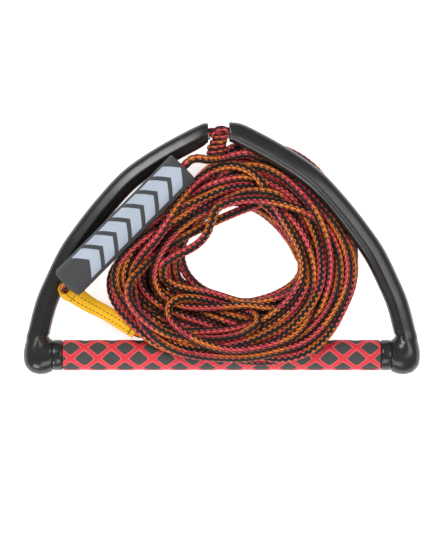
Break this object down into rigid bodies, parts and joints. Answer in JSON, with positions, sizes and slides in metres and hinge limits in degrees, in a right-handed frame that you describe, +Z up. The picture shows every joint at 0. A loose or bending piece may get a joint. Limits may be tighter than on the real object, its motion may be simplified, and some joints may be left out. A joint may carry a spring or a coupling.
{
  "type": "tow rope handle",
  "caption": "Foam-gripped bar between two moulded arms whose bridle holds a coiled braided tow rope with a float and a covered boat loop.",
  "frame": {"origin": "on the surface that the handle lies on, under the middle of the handle's own box (bar, arms and bridle)", "axes": "+X along the bar to the right arm, +Y from the bar to the apex of the arms, +Z up from the surface"},
  "size_m": [0.3814, 0.2419, 0.0761],
  "materials": {
    "bare_alloy": "drawn tube, satin",
    "grip_foam": "fine closed-cell foam with a raised crimson lattice",
    "arm_foam": "pale closed-cell foam",
    "gloss_cuff": "glossy black moulding",
    "black_moulding": "semi-gloss black dipped skin",
    "clear_hose": "cloudy translucent hose",
    "braided_rope": "braided coral, orange, magenta and black",
    "yellow_webbing": "woven tubular webbing with lengthwise stitching",
    "float_foam": "charcoal closed-cell foam with a pale grey print"
  },
  "bodies": {
    "handle": {"bar_tube": "bare_alloy", "grip_sleeve": "grip_foam", "bar_plug_left": "arm_foam", "bar_plug_right": "arm_foam", "cuff_left": "gloss_cuff", "cuff_right": "gloss_cuff", "arm_skin_left": "black_moulding", "arm_skin_right": "black_moulding", "arm_foam_left": "arm_foam", "arm_foam_right": "arm_foam", "arm_hose_left": "clear_hose", "arm_hose_right": "clear_hose", "bridle_rope": "braided_rope", "apex_knot": "braided_rope", "rope_lead": "braided_rope", "rope_coil": "braided_rope", "rope_stray": "braided_rope", "rope_tail": "braided_rope", "eye_splice": "braided_rope", "boat_loop": "braided_rope", "loop_cover": "yellow_webbing"},
    "float": {"keeper_float": "float_foam"}
  },
  "joints": [
    {"name": "float_slide", "type": "slide", "parent": "handle", "child": "float", "axis": [0.7066, 0.7041, 0.0704], "range_m": [0, 0.006]}
  ]
}
